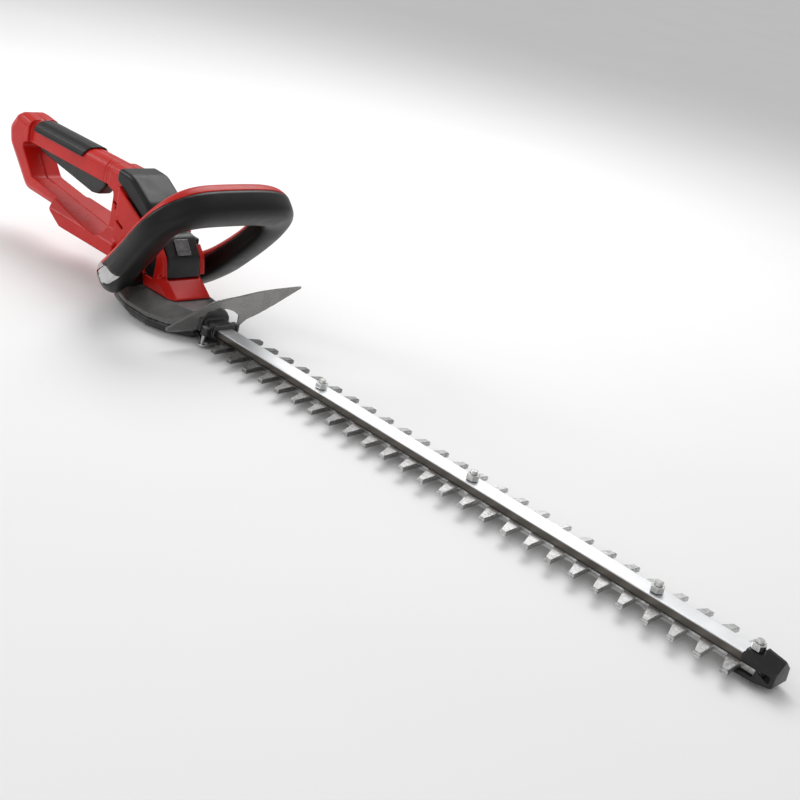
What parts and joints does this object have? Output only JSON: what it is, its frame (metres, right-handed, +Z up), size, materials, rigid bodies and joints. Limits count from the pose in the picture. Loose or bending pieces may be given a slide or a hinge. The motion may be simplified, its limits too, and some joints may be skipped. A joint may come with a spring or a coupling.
{
  "type": "cordless hedge trimmer",
  "caption": "Two-handed cordless hedge trimmer: double-sided reciprocating blades on a guide rail, gearbox foot, trigger handle, front loop handle with switch bar and clear hand guard.",
  "frame": {"origin": "on the flat underside of the gearbox, on the drive gear's axis", "axes": "+X along the cutter towards its tip, +Z up from the gearbox underside, +Y to the tool's left"},
  "size_m": [0.9691, 0.17, 0.1506],
  "materials": {
    "red_plastic": "satin red moulded nylon",
    "soft_grip": "soft-touch black elastomer",
    "black_plastic": "fine-textured black nylon",
    "grey_casting": "satin grey die-casting",
    "dark_casting": "satin dark grey die-casting",
    "smoked_clear": "smoke-grey translucent polycarbonate",
    "blade_steel": "ground hardened steel",
    "rail_metal": "drawn aluminium section",
    "fastener_steel": "zinc-plated steel",
    "gear_steel": "machined steel",
    "bearing_bronze": "sintered bronze",
    "motor_steel": "plated sheet steel",
    "spring_steel": "drawn spring wire",
    "board_green": "glass-fibre circuit board",
    "badge_silver": "satin grey blank plate"
  },
  "bodies": {
    "frame": {"badge_plate": "badge_silver", "battery_rail_left": "black_plastic", "battery_rail_right": "black_plastic", "control_board": "board_green", "front_insert": "black_plastic", "gear_pin": "fastener_steel", "gearbox_lower_shell": "dark_casting", "gearbox_upper_shell": "grey_casting", "grip_overmould": "soft_grip", "guide_rail": "rail_metal", "hand_guard": "smoked_clear", "housing_left": "red_plastic", "housing_right": "red_plastic", "loop_front_shell": "soft_grip", "loop_micro_switch": "black_plastic", "loop_rear_shell": "red_plastic", "lower_bearing": "bearing_bronze", "main_switch": "black_plastic", "motor_can": "motor_steel", "motor_cover": "soft_grip", "motor_end_cap": "black_plastic", "motor_plate": "motor_steel", "neck_clamp": "dark_casting", "neck_plate": "dark_casting", "neck_screw_left": "fastener_steel", "neck_screw_right": "fastener_steel", "nose_cover": "red_plastic", "rail_bolt_1": "fastener_steel", "rail_bolt_2": "fastener_steel", "rail_bolt_3": "fastener_steel", "rail_nut_1": "fastener_steel", "rail_nut_2": "fastener_steel", "rail_nut_3": "fastener_steel", "switch_spring_left": "spring_steel", "switch_spring_right": "spring_steel", "terminal_block": "black_plastic", "tip_bolt": "fastener_steel", "tip_guard": "black_plastic", "tip_nut": "fastener_steel", "trigger_pin": "fastener_steel", "trigger_spring": "spring_steel", "upper_bearing": "bearing_bronze"},
    "trigger": {"trigger": "black_plastic"},
    "switch_bar": {"loop_switch_bar": "black_plastic"},
    "gear": {"drive_gear": "gear_steel", "lower_eccentric": "gear_steel", "upper_eccentric": "gear_steel"},
    "rotor": {"motor_shaft": "gear_steel", "motor_pinion": "gear_steel", "motor_fan": "black_plastic"},
    "upper_blade": {"upper_blade": "blade_steel"},
    "lower_blade": {"lower_blade": "blade_steel"}
  },
  "joints": [
    {"name": "trigger_pull", "type": "hinge", "parent": "frame", "child": "trigger", "pos_m": [-0.228, 0, 0.101], "axis": [0, -1, 0], "range_deg": [0, 4.5], "stiffness_Nm_per_rad": 0.8, "springref_deg": -2.86},
    {"name": "switch_bar_press", "type": "slide", "parent": "frame", "child": "switch_bar", "axis": [0.7009, 0, 0.7133], "range_m": [0, 0.003], "stiffness_N_per_m": 300, "springref_m": -0.003},
    {"name": "drive_gear_spin", "type": "hinge", "parent": "frame", "child": "gear", "pos_m": [0, 0, 0.015], "axis": [0, 0, 1], "continuous": true},
    {"name": "rotor_spin", "type": "hinge", "parent": "frame", "child": "rotor", "pos_m": [-0.03825, 0, 0.05], "axis": [0, 0, 1], "continuous": true},
    {"name": "upper_blade_slide", "type": "slide", "parent": "frame", "child": "upper_blade", "axis": [1, 0, 0], "range_m": [-0.0055, 0.0055]},
    {"name": "lower_blade_slide", "type": "slide", "parent": "frame", "child": "lower_blade", "axis": [1, 0, 0], "range_m": [-0.0055, 0.0055]}
  ],
  "couplings": [
    {"joint": "rotor_spin", "follows": "drive_gear_spin", "ratio": -5.9091},
    {"joint": "lower_blade_slide", "follows": "upper_blade_slide", "ratio": -1}
  ]
}
